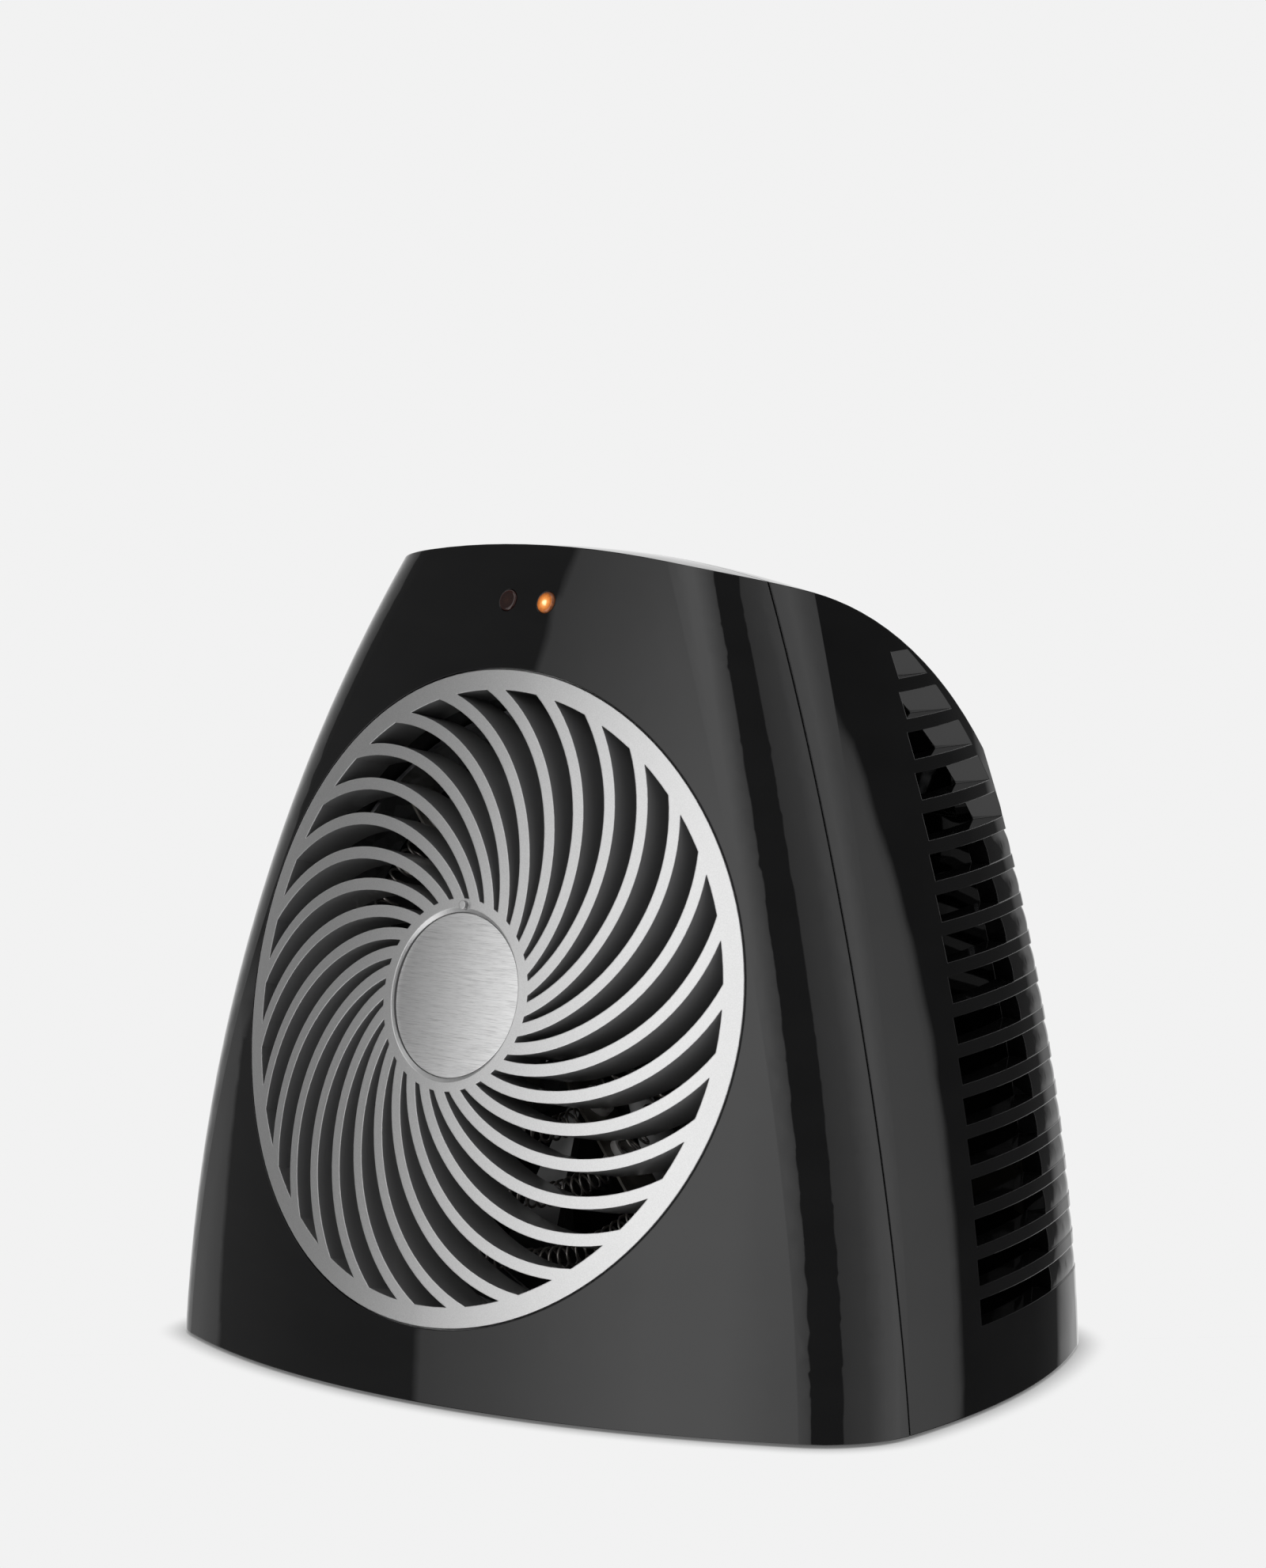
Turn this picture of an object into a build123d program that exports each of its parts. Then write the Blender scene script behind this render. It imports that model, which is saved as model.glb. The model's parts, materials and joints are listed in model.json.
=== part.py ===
from build123d import *
import os
from math import acos, atan, atan2, cos, degrees, hypot, radians, sin, sqrt

# Small spiral-grille space heater, millimetres, +Z up, the front faces -Y.
# Everything is drawn in the shell frame: y = 0 at the foremost point of the front's bottom edge
# and z = 0 at the shell's bottom edge. PLACE moves each finished piece to the part frame, whose
# origin is on the floor, under the middle of the whole heater.

# ---- driving dimensions -------------------------------------------------------------------
DEPTH = 213.7             # shell depth on the centre line at the bottom edge
HEIGHT = 232.5            # top of the shell on the centre line
HALF_WIDTH = 131.7        # half the width the two sides would reach at the bottom edge
FOOT_GAP = 1.0            # how far the feet lift the shell off the floor
WALL = 2.4
SEAM_GAP = 0.5            # visible gap between the front panel and the rear housing

FACE_RADIUS = 263.4       # plan radius of the front and of the back
SIDE_RADIUS = 284.3       # plan radius of each side
FRONT_CORNER = 28.3       # plan radius where the front turns into a side
REAR_CORNER = 65.7        # plan radius of the rear corner at the bottom edge
ARCH_RADIUS = 334.0       # radius of the top's arch, seen from the front
DOME_RADIUS = 156.0       # radius of the top's fall to the back, seen from the side
DOME_START_Y = 50.0       # where that fall begins

RING_RADIUS = 91.0        # outer radius of the front grille
RING_Z = 110.8            # height of the grille's centre
RING_GAP = 0.5
GRILLE_DEPTH = 14.0
SLOT_OUTER_R = 85.3
HUB_R = 26.5
BADGE_R = 22.7
BADGE_SINK = 1.1          # depth of the badge's face below the grille's
BADGE_THICKNESS = 1.0
RIB_COUNT = 29
RIB_WIDTH = 3.4

VENT_COUNT = 17           # louvre slots up each side
VENT_PITCH = 10.78
VENT_HEIGHT = 7.2
VENT_LOWEST_Z = 22.7
WRAPPED_VENTS = 12        # the lowest slots run on round the back
VENT_END_Y = 147.0        # where the lower slots stop going right through the side
VENT_FLOOR_X = 70.0       # the upper slots are cut down to these two upright planes
REAR_WINDOW_WIDTH = 36.0  # width of the open middle of the slots that run round the back
BLADE_DEPTH = 6.5         # how far the blades between the slots reach inwards

DUCT_R = 85.6             # inner radius of the air duct
DUCT_WALL = 1.8
DUCT_END = 84.0           # depth of the duct's rear end, behind the grille's centre
ELEMENT_DEPTH = 38.0      # depth of the heating element's middle plane
COIL_RADII = {"outer": 70.0, "middle": 52.0, "inner": 34.0}
COIL_TUBE_R = 3.6
SPOKES = 6
FAN_R = 80.0
FAN_DEPTH = 65.0          # depth of the fan's middle plane
FAN_BLADES = 7
SHAFT_R = 3.0
MOTOR_R = 29.0
MOTOR_FRONT = 88.0        # depths of the motor's two ends
MOTOR_REAR = 124.0

CONTROL_TILT = 44.0       # the controls' axis, degrees from straight up towards the back
PLATE_DISTANCE = 150.5    # control plate's top face, from the dome's centre
KNOB_X = 24.0
LAMP_X = 7.05
LAMP_Z = 217.1
LAMP_R = 3.0
GLAND_R = 5.0
SCREW_R = 1.5

PLACE = Location((0, -DEPTH / 2, FOOT_GAP))


# ---- the shell's laws, each a function of height --------------------------------------------
def front_y(z):
    return 0.0686 * z + 0.000694 * z * z


def half_width(z):
    return HALF_WIDTH - 0.0456 * z - 0.001014 * z * z + 2.4e-7 * z**3


def side_apex_y(z):
    return 33.6 + 0.0483 * z


def seam_y(z):
    return 53.8 - 0.0565 * z + 0.000587 * z * z


def rear_y(z):
    return DEPTH - 0.214 * z


def rear_corner(z):
    return max(REAR_CORNER - 0.4065 * z, 4.0)


def vent_start_y(z):
    return 93.0 + 0.0006 * z * z


RING_TILT = degrees(atan(0.0686 + 2 * 0.000694 * RING_Z))
AIR_AXIS = Vector(0, -cos(radians(RING_TILT)), sin(radians(RING_TILT)))
AIR = Plane(origin=(0, front_y(RING_Z), RING_Z), x_dir=(1, 0, 0), z_dir=AIR_AXIS)
DOME_CENTRE = (DOME_START_Y, HEIGHT - DOME_RADIUS)
CONTROL_AXIS = Vector(0, sin(radians(CONTROL_TILT)), cos(radians(CONTROL_TILT)))
CONTROL = Plane(origin=(0, *DOME_CENTRE), x_dir=(1, 0, 0), z_dir=CONTROL_AXIS)


# ---- shell construction ---------------------------------------------------------------------
def circles_meet(a, ra, b, rb, rearmost):
    """Where two circles cross: the crossing nearer the back, or the one nearer the front."""
    dx, dy = b[0] - a[0], b[1] - a[1]
    apart = hypot(dx, dy)
    along = (ra * ra - rb * rb + apart * apart) / (2 * apart)
    off = sqrt(ra * ra - along * along)
    middle = (a[0] + dx * along / apart, a[1] + dy * along / apart)
    crossings = [
        (middle[0] - s * dy * off / apart, middle[1] + s * dx * off / apart) for s in (1, -1)
    ]
    return sorted(crossings, key=lambda point: point[1])[-1 if rearmost else 0]


def on_circle(centre, radius, angle):
    return (centre[0] + radius * cos(angle), centre[1] + radius * sin(angle))


def outline(z, inset):
    """The closed plan of the shell at one height, moved inwards by inset: eight tangent arcs."""
    face, side = FACE_RADIUS - inset, SIDE_RADIUS - inset
    front_fillet = max(FRONT_CORNER - inset, 1.0)
    rear_fillet = max(rear_corner(z) - inset, 1.0)
    front = (0.0, front_y(z) + FACE_RADIUS)
    right = (half_width(z) - SIDE_RADIUS, side_apex_y(z))
    back = (0.0, rear_y(z) - FACE_RADIUS)
    fore = circles_meet(front, face - front_fillet, right, side - front_fillet, False)
    aft = circles_meet(back, face - rear_fillet, right, side - rear_fillet, True)
    a_front = atan2(fore[1] - front[1], fore[0] - front[0])
    a_fore = atan2(fore[1] - right[1], fore[0] - right[0])
    a_aft = atan2(aft[1] - right[1], aft[0] - right[0])
    a_back = atan2(aft[1] - back[1], aft[0] - back[0])
    pieces = [
        (fore, front_fillet, a_front, a_fore),
        (right, side, a_fore, a_aft),
        (aft, rear_fillet, a_aft, a_back),
    ]
    half = []
    for centre, radius, start, end in pieces:
        half.append([on_circle(centre, radius, a) for a in (start, (start + end) / 2, end)])
    mirrored = [[(-x, y) for x, y in reversed(arc)] for arc in reversed(half)]
    tip = [half[-1][-1], (0, back[1] + face), mirrored[0][0]]
    nose = [mirrored[-1][-1], (0, front[1] - face), half[0][0]]
    edges = []
    for arc in [nose, *half, tip, *mirrored]:
        edges.append(Edge.make_three_point_arc(*[(x, y, z) for x, y in arc]))
    return Wire(edges)


def column(inset):
    """The shell's sides, front and back as one tall solid."""
    heights = (-6, 18, 42, 66, 90, 114, 138, 154, 172, 196, 220, 244)
    return Solid.make_loft([outline(z, inset) for z in heights])


def dome(inset):
    """Everything below the arched top and its fall to the back."""
    y0, z0 = DOME_CENTRE
    radius = DOME_RADIUS - inset
    fall = acos(52.0 / radius)
    end = (y0 + radius * sin(fall), z0 + radius * cos(fall))
    middle = (y0 + radius * sin(fall / 2), z0 + radius * cos(fall / 2))
    axis_z = HEIGHT - ARCH_RADIUS
    top = z0 + radius
    line = Polyline((0, y0, top), (0, -60, top), (0, -60, axis_z), (0, 245, axis_z))
    line += Line((0, 245, axis_z), (0, end[0], end[1]))
    line += ThreePointArc((0, end[0], end[1]), (0, middle[0], middle[1]), (0, y0, top))
    profile = make_face(line.edges())
    axis = Axis((0, 0, axis_z), (0, 1, 0))
    return revolve(profile.rotate(axis, -80), axis, 160)


_bodies = {}


def body(inset):
    """The shell's outer form moved inwards by inset, kept for reuse."""
    if inset not in _bodies:
        _bodies[inset] = column(inset) & dome(inset)
    return _bodies[inset]


def band(outer, inner):
    return body(outer) - body(inner)


def side_of(law, offset, rear):
    """Everything behind a curve y = law(z) moved back by offset, or everything before it."""
    curve = Spline([(0, law(z) + offset, z) for z in range(-10, 251, 20)])
    far = 400 if rear else -100
    lo, hi = curve @ 0, curve @ 1
    loop = curve + Polyline((0, hi.Y, hi.Z), (0, far, hi.Z), (0, far, lo.Z), (0, lo.Y, lo.Z))
    return extrude(make_face(loop.edges()), 200, dir=(1, 0, 0), both=True)


def seam_side(offset, rear):
    return side_of(seam_y, offset, rear)


def above_floor():
    return Pos(0, 100, 150) * Box(400, 600, 300)


def on_air_axis(shape):
    return AIR.location * shape


def air_tube(outer_r, inner_r, near, far):
    """A tube about the air axis between two depths behind the grille's centre."""
    tube = Pos(0, 0, -(near + far) / 2) * Cylinder(outer_r, far - near)
    if inner_r:
        tube -= Pos(0, 0, -(near + far) / 2) * Cylinder(inner_r, far - near + 2)
    return on_air_axis(tube)


def screw(length, head_r=3.2, head_h=2.0):
    """A pan-head screw with its head's underside at the origin and its shank down -Z."""
    head = Pos(0, 0, head_h / 2) * Cylinder(head_r, head_h)
    head = fillet(head.edges().sort_by(Axis.Z)[-1], 0.9)
    cross = Pos(0, 0, head_h) * (Box(3.4, 0.8, 1.6) + Box(0.8, 3.4, 1.6))
    shank = Pos(0, 0, -length / 2) * Cylinder(SCREW_R - 0.05, length)
    return head - cross + shank


# ---- casing ---------------------------------------------------------------------------------
CASE_POSTS = ((112.0, 30.0), (62.0, 202.0))      # x and z of the joints between the two shells
FLANGE_DEPTH = 31.0                              # depth of the duct's front flange
FLANGE_SCREW_R = 100.0
FLANGE_ANGLES = (45, 135, 225, 315)
LUG_ANGLES = (90, 210, 330)
LUG_R = 91.5
BASE_TOP = 3.0
BASE_THICKNESS = 2.4
FEET = ((-100.0, 48.0), (100.0, 48.0), (-60.0, 172.0), (60.0, 172.0))
FRONT_BASE_POSTS = ((-70.0, 16.5), (70.0, 16.5))
REAR_BASE_POSTS = ((-100.0, 150.0), (100.0, 150.0))
TIP_SPOT = (40.0, 140.0)


def mirrored(points):
    return [(s * x, z) for x, z in points for s in (-1, 1)]


def face_point(x, z):
    """A point on the front's outer surface."""
    return Vector(x, front_y(z) + FACE_RADIUS - sqrt(FACE_RADIUS**2 - x * x), z)


def lamp_place(x):
    slope = 0.0686 + 2 * 0.000694 * LAMP_Z
    return Plane(face_point(x, LAMP_Z), x_dir=(1, 0, 0), z_dir=(0, -1, slope)).location


def gland_place():
    x, z = -30.0, 12.5
    y = rear_y(z) - FACE_RADIUS + sqrt(FACE_RADIUS**2 - x * x)
    return Plane((x, y, z), x_dir=(1, 0, 0), z_dir=(x / FACE_RADIUS, 1, 0.214)).location


def post(x, y):
    """A post that a base screw bites into."""
    return Pos(x, y, (BASE_TOP + 18) / 2) * Cylinder(5.0, 18 - BASE_TOP)


def post_hole(x, y):
    return Pos(x, y, BASE_TOP) * Cylinder(SCREW_R, 20)


def front_panel():
    shell = band(0, WALL) & seam_side(-SEAM_GAP / 2, False) & above_floor()
    shell -= air_tube(RING_RADIUS + RING_GAP, 0, -30, 60)
    for x, z in mirrored(CASE_POSTS):
        end_y = seam_y(z) - 1.0
        boss = Pos(x, end_y / 2, z) * Rot(90, 0, 0) * Cylinder(5.0, end_y)
        shell += boss & body(WALL / 2)
        shell -= Pos(x, end_y - 5, z) * Rot(90, 0, 0) * Cylinder(SCREW_R, 12)
    for angle in FLANGE_ANGLES:
        spot = Rot(0, 0, angle) * Pos(FLANGE_SCREW_R, 0, 0)
        boss = spot * Pos(0, 0, -FLANGE_DEPTH / 2 + 10) * Cylinder(4.5, FLANGE_DEPTH + 20)
        shell += on_air_axis(boss) & body(WALL / 2)
        shell -= on_air_axis(spot * Pos(0, 0, -FLANGE_DEPTH) * Cylinder(SCREW_R, 18))
    for x, y in FRONT_BASE_POSTS:
        shell += post(x, y) & body(WALL / 2)
        shell -= post_hole(x, y)
    for x in (-14.0, 14.0):
        shell += lamp_place(0) * Pos(x, 0, -5) * Cylinder(1.8, 10) & body(WALL / 2)
    for x in (-LAMP_X, LAMP_X):
        shell -= lamp_place(x) * Cylinder(LAMP_R + 0.15, 12)
    return shell


def slice_between(low, high):
    return Pos(0, 100, (low + high) / 2) * Box(400, 400, high - low)


def vent_pillow(low, high):
    """The skin that closes a louvre where it runs round the rear corner, a little sunk."""
    levels = ((low - 0.01, 0.3), ((low + high) / 2, 0.15), (high + 0.01, 0.8))
    skin = Solid.make_loft([outline(z, inset) for z, inset in levels])
    skin &= Pos(0, VENT_END_Y + 100, low) * Box(400, 200, 30)
    return skin - Pos(0, 220, low) * Box(REAR_WINDOW_WIDTH, 120, 40)


def vent_slot(k):
    """One louvre opening, both sides at once; the lowest ones run on round the back."""
    low = VENT_LOWEST_Z + k * VENT_PITCH
    middle = low + VENT_HEIGHT / 2
    slab = Pos(0, vent_start_y(middle) + 100, middle) * Box(320, 200, VENT_HEIGHT)
    if k < WRAPPED_VENTS:
        return slab - vent_pillow(low, low + VENT_HEIGHT)
    return slab - Pos(0, 150, middle) * Box(2 * VENT_FLOOR_X, 300, VENT_HEIGHT + 1)


def vent_backing():
    """The deep stock behind the louvre field that the slots turn into blades."""
    split = VENT_LOWEST_Z + WRAPPED_VENTS * VENT_PITCH - 1
    top = VENT_LOWEST_Z + VENT_COUNT * VENT_PITCH - 2
    stock = band(WALL / 2, BLADE_DEPTH) & side_of(vent_start_y, -2, True)
    upper = stock & slice_between(split, top)
    upper -= Pos(0, 150, 160) * Box(110, 300, 200)
    lower = stock & slice_between(VENT_LOWEST_Z - 2, split)
    return lower, upper


def control_prism(width, length, low, high, corner=6.0):
    """A rounded rectangular block about the controls' axis, between two distances."""
    face = RectangleRounded(width, length, corner)
    return CONTROL.location * (Pos(0, 0, low) * extrude(face, high - low))


def seam_lip():
    """A lip that reaches forward inside the front panel and closes the seam to light."""
    lip = band(WALL + 0.2, WALL + 1.8) & seam_side(-4, True)
    root = band(WALL / 2, WALL + 1.8) & seam_side(SEAM_GAP / 2 + 3, True)
    return ((lip + root) - seam_side(8, True)) & (Pos(0, 100, 155) * Box(400, 600, 290))


def rear_housing():
    shell = band(0, WALL) & seam_side(SEAM_GAP / 2, True) & above_floor()
    for stock in vent_backing():
        shell += stock
    shell -= Compound(children=[vent_slot(k) for k in range(VENT_COUNT)])
    shell += seam_lip()
    for x, z in mirrored(CASE_POSTS):
        side = 1 if x > 0 else -1
        shell += Pos(x + 6 * side, seam_y(z) + 3, z) * Box(26, 5, 14) & body(WALL / 2)
        shell -= Pos(x, seam_y(z), z) * Rot(90, 0, 0) * Cylinder(SCREW_R + 0.3, 20)
    for x, y in REAR_BASE_POSTS:
        shell += post(x, y) & body(WALL / 2)
        shell -= post_hole(x, y)
    shell -= control_prism(100, 40, 140, 175)
    shell -= gland_place() * Cylinder(GLAND_R + 0.1, 30)
    return shell


def base_plate():
    middle = BASE_TOP - BASE_THICKNESS / 2
    plate = body(WALL + 0.4) & (Pos(0, 100, middle) * Box(400, 400, BASE_THICKNESS))
    for x, y in FEET:
        plate -= Pos(x, y, middle) * Cylinder(2.5, 6)
    plate -= Pos(*TIP_SPOT, middle) * Cylinder(3.0, 6)
    for x, y in FRONT_BASE_POSTS + REAR_BASE_POSTS:
        plate -= Pos(x, y, middle) * Cylinder(SCREW_R + 0.2, 6)
    return plate


def rubber_feet():
    under = BASE_TOP - BASE_THICKNESS
    pad_height = under + FOOT_GAP
    feet = []
    for x, y in FEET:
        pad = Pos(x, y, under - pad_height / 2) * Cylinder(9.0, pad_height)
        pad = fillet(pad.edges().sort_by(Axis.Z)[0], 0.6)
        plug = Pos(x, y, (under + BASE_TOP) / 2) * Cylinder(2.5, BASE_THICKNESS)
        feet.append(pad + plug)
    return Compound(children=feet)


# ---- front grille ---------------------------------------------------------------------------
def rib_angle(r):
    """The angle, in degrees, of a rib's centre line at a radius: an S-shaped spiral."""
    s = r - 56.0
    return -22.5 + 0.888 * s - 0.00125 * s * s + 0.0001333 * s**3


def rib_half_angle(r):
    """Half the angle a rib covers at a radius, for a width square to its run."""
    turn = radians(rib_angle(r + 0.5) - rib_angle(r - 0.5))
    return degrees(RIB_WIDTH / 2 / (r * cos(atan(r * turn))))


def polar(r, angle):
    return (r * cos(radians(angle)), r * sin(radians(angle)))


def slot_face():
    """The opening between two neighbouring ribs, seen along the air axis."""
    pitch = 360 / RIB_COUNT
    inner = HUB_R + 0.2
    radii = [inner + (SLOT_OUTER_R - inner) * i / 7 for i in range(8)]
    near = [polar(r, rib_angle(r) + rib_half_angle(r)) for r in radii]
    far = [polar(r, rib_angle(r) + pitch - rib_half_angle(r)) for r in radii]
    ends = []
    for r in (inner, SLOT_OUTER_R):
        ends.append(polar(r, rib_angle(r) + pitch / 2))
    edges = [
        Spline(near),
        Spline(far),
        ThreePointArc(near[0], ends[0], far[0]),
        ThreePointArc(near[-1], ends[1], far[-1]),
    ]
    return make_face(edges)


def grille_disc():
    """The grille before its slots are cut, with the badge's bevelled recess in its middle."""
    disc = air_tube(RING_RADIUS, 0, -30, 60) & band(0, GRILLE_DEPTH)
    disc -= air_tube(BADGE_R + 0.3, 0, -30, 60) & band(-2, BADGE_SINK + BADGE_THICKNESS)
    return disc - on_air_axis(Pos(0, 0, 1.75) * Cone(BADGE_R + 0.3, BADGE_R + 6.8, 6.5))


def front_grille():
    disc = grille_disc()
    slot = Pos(0, 0, -45) * extrude(slot_face(), 75)
    slots = [Rot(0, 0, 360 * i / RIB_COUNT) * slot for i in range(RIB_COUNT)]
    disc -= on_air_axis(Compound(children=slots))
    disc -= air_tube(24.0, 0, -30, 60) & band(4.0, 30)
    disc += air_tube(RING_RADIUS + 4, RING_RADIUS - 2, -30, 60) & band(WALL + 0.3, WALL + 2.3)
    return disc + on_air_axis(Pos(0, BADGE_R + 2.1, 0) * Cylinder(1.2, 2.0))


def grille_badge():
    return air_tube(BADGE_R, 0, -30, 60) & band(BADGE_SINK, BADGE_SINK + BADGE_THICKNESS)


# ---- air path and heating element -----------------------------------------------------------
def duct_lugs(near, far):
    lugs = Part()
    for angle in LUG_ANGLES:
        lug = Rot(0, 0, angle) * Pos(LUG_R, 0, -(near + far) / 2) * Cylinder(4.5, far - near)
        lugs += on_air_axis(lug)
    return lugs


def air_holes(radius, angles, hole_r, near, far):
    holes = []
    for angle in angles:
        spot = Rot(0, 0, angle) * Pos(radius, 0, -(near + far) / 2)
        holes.append(on_air_axis(spot * Cylinder(hole_r, far - near)))
    return Compound(children=holes)


def air_duct():
    outer = DUCT_R + DUCT_WALL
    tube = air_tube(outer, DUCT_R, -5, DUCT_END) & body(GRILLE_DEPTH + 0.2)
    flange = air_tube(104.5, outer - 1, FLANGE_DEPTH, FLANGE_DEPTH + 2)
    tube += flange & (Pos(0, 100, 154) * Box(400, 400, 300))
    tube += air_tube(89.5, outer - 1, DUCT_END - 2, DUCT_END)
    tube += duct_lugs(DUCT_END - 2, DUCT_END) - air_tube(outer - 0.5, 0, 70, 90)
    tube -= air_holes(FLANGE_SCREW_R, FLANGE_ANGLES, 1.8, FLANGE_DEPTH - 1, FLANGE_DEPTH + 3)
    tube -= air_holes(LUG_R, LUG_ANGLES, SCREW_R, DUCT_END - 3, DUCT_END + 1)
    return tube


def element_rim():
    return air_tube(84.8, 83.6, 29, 48)


def spokes():
    return [i * 360 / SPOKES + 15 for i in range(SPOKES)]


def mica_plates():
    plates = []
    for angle in spokes():
        plate = Box(71.6, 0.8, 16)
        for r in COIL_RADII.values():
            plate -= Pos(r - 47.8, 0, 0) * Rot(90, 0, 0) * Cylinder(4.8, 4)
        plates.append(on_air_axis(Rot(0, 0, angle) * Pos(47.8, 0, -ELEMENT_DEPTH) * plate))
    return Compound(children=plates)


def ceramic_core():
    return air_tube(12.0, 4.0, 29, 47)


def ceramic_bushes():
    bushes = []
    for angle in spokes():
        for r in COIL_RADII.values():
            bush = Rot(90, 0, 0) * (Cylinder(4.8, 5) - Cylinder(3.8, 6))
            bushes.append(on_air_axis(Rot(0, 0, angle) * Pos(r, 0, -ELEMENT_DEPTH) * bush))
    return Compound(children=bushes)


def heater_coil(r):
    return on_air_axis(Pos(0, 0, -ELEMENT_DEPTH) * Torus(r, COIL_TUBE_R))


def cutout_bracket():
    strip = Pos(0, 68.3, -28.5) * Box(10, 33, 1)
    return on_air_axis(strip)


def thermal_cutout():
    can = Pos(0, 60, -24.5) * Cylinder(7.5, 7)
    cap = Pos(0, 60, -20.2) * Cylinder(5.5, 1.6)
    tabs = Pos(0, 60, -26.5) * Box(21, 4, 0.8)
    return on_air_axis(can + cap + tabs)


# ---- fan and motor --------------------------------------------------------------------------
def fan_blade():
    """One twisted blade, drawn pointing along +X."""
    sections = []
    for r, chord, pitch in ((14.0, 22.0, 48.0), (45.0, 34.0, 36.0), (78.5, 42.0, 27.0)):
        plane = Plane((r, 0, 0), x_dir=(0, cos(radians(pitch)), sin(radians(pitch))), z_dir=(1, 0, 0))
        sections.append((plane * Rectangle(chord, 1.8)).wire())
    return Solid.make_loft(sections)


def impeller():
    hub = Cylinder(17, 20)
    hub = fillet(hub.edges().sort_by(Axis.Z)[-1], 4)
    hub -= Pos(0, 0, -6) * (Cylinder(14.5, 12) - Cylinder(6.5, 12))
    rotor = hub
    for i in range(FAN_BLADES):
        rotor += Rot(0, 0, i * 360 / FAN_BLADES) * fan_blade() - Cylinder(15.5, 80)
    rotor &= Cylinder(FAN_R, 26)
    rotor -= Cylinder(SHAFT_R, 60)
    return on_air_axis(Pos(0, 0, -FAN_DEPTH) * rotor)


def impeller_nut():
    nut = extrude(RegularPolygon(6.0, 6), 4) - Cylinder(SHAFT_R, 20)
    return on_air_axis(Pos(0, 0, -(FAN_DEPTH - 10)) * nut)


def motor_shaft():
    shaft = air_tube(SHAFT_R, 0, 50, 127)
    return chamfer(shaft.edges(), 0.5)


def motor_rotor():
    return air_tube(15.0, SHAFT_R, 95, 117)


def motor_stator():
    return air_tube(26.5, 15.6, 95, 117)


def motor_body():
    can = air_tube(MOTOR_R, 26.9, MOTOR_FRONT + 3.5, MOTOR_REAR - 3.5)
    windows = [
        on_air_axis(Rot(0, 0, i * 60) * Pos(MOTOR_R, 0, -(MOTOR_FRONT + 31)) * Box(12, 8, 5))
        for i in range(6)
    ]
    return can - Compound(children=windows)


def motor_cap(near, far):
    """An end cap with cooling holes; its bearing sits in the middle hole."""
    cap = air_tube(MOTOR_R, 8.0, near, far)
    cap -= air_holes(22.0, (30, 150, 270), SCREW_R, near - 1, far + 1)
    return cap - air_holes(17.0, range(0, 360, 60), 3.0, near - 1, far + 1)


def bearing(near, far):
    ring = air_tube(8.0, SHAFT_R + 0.05, near, far)
    return ring - air_tube(6.8, 4.6, near - 1, near + 0.5)


def motor_bracket():
    near, far = DUCT_END, MOTOR_FRONT
    spider = air_tube(MOTOR_R + 1, 10.0, near, far)
    spider += air_tube(89.5, DUCT_R, near, near + 2.5)
    for angle in LUG_ANGLES:
        arm = Box(60, 9, far - near)
        spider += on_air_axis(Rot(0, 0, angle) * Pos(58, 0, -(near + far) / 2) * arm)
    spider += duct_lugs(near, near + 2.5)
    spider -= air_holes(22.0, (30, 150, 270), SCREW_R + 0.2, near - 1, far + 1)
    return spider - air_holes(LUG_R, LUG_ANGLES, SCREW_R + 0.2, near - 1, far + 1)


# ---- controls and lamps ---------------------------------------------------------------------
def control_plate():
    floor = PLATE_DISTANCE - 2.4
    plate = control_prism(99.4, 39.4, floor, PLATE_DISTANCE, 5.7)
    rim = control_prism(99.4, 39.4, floor, 175, 5.7) - control_prism(96.2, 36.2, 140, 176, 4.1)
    plate += rim & body(0.3)
    for x in (-KNOB_X, KNOB_X):
        plate -= CONTROL.location * (Pos(x, 0, PLATE_DISTANCE) * Cylinder(5.0, 20))
    return plate


def on_control(x, shape):
    return CONTROL.location * (Pos(x, 0, 0) * shape)


def rise(radius, low, high):
    """A cylinder about a knob's axis between two distances from the dome's centre."""
    return Pos(0, 0, (low + high) / 2) * Cylinder(radius, high - low)


def control_case(width, length, low):
    """A switch or thermostat under the plate, with the bush its shaft turns in."""
    top = PLATE_DISTANCE - 2.4
    case = Pos(0, 0, (low + top) / 2) * Box(width, length, top - low)
    case = fillet(case.edges().filter_by(Axis.Z), 2)
    case += rise(4.9, top - 1, 153.5)
    return case - rise(SHAFT_R + 0.05, low + 4, 160)


def knob_shaft(low):
    return rise(SHAFT_R, low + 4.5, 161)


def knob():
    """A round skirt with a grip bar across it."""
    skirt = fillet(rise(15.0, 151.3, 156).edges().sort_by(Axis.Z)[-1], 1.2)
    bar = Pos(0, 0, 160) * Box(7, 27, 10)
    bar = fillet(bar.edges().filter_by(Axis.Z), 3.0)
    bar = fillet(bar.edges().sort_by(Axis.Z)[-8:], 1.0)
    return skirt + bar - rise(9.0, 150, 154.3) - rise(SHAFT_R, 150, 161)


def control_nuts():
    nuts = []
    for x in (-KNOB_X, KNOB_X):
        nut = Pos(0, 0, PLATE_DISTANCE) * extrude(RegularPolygon(8, 6), 2.5) - rise(4.9, 140, 160)
        nuts.append(on_control(x, nut))
    return Compound(children=nuts)


def lamp_lens(x):
    lens = Pos(0, 0, -2.6) * Cylinder(LAMP_R, 6.4)
    lens = fillet(lens.edges().sort_by(Axis.Z)[-1], 0.6)
    return lamp_place(x) * (lens + Pos(0, 0, -3.3) * Cylinder(4.2, 1.0))


def lamp_board():
    return lamp_place(0) * Pos(0, 0, -10.8) * Box(32, 13, 1.6)


def lamp_leds():
    leds = []
    for x in (-LAMP_X, LAMP_X):
        led = Pos(0, 0, -8.5) * Cylinder(1.5, 3)
        led = fillet(led.edges().sort_by(Axis.Z)[-1], 1.2)
        leds.append(lamp_place(0) * Pos(x, 0, 0) * led)
    return Compound(children=leds)


# ---- tip-over switch, cord inlet and terminals ------------------------------------------------
TIP_CEILING = 15.0


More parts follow.
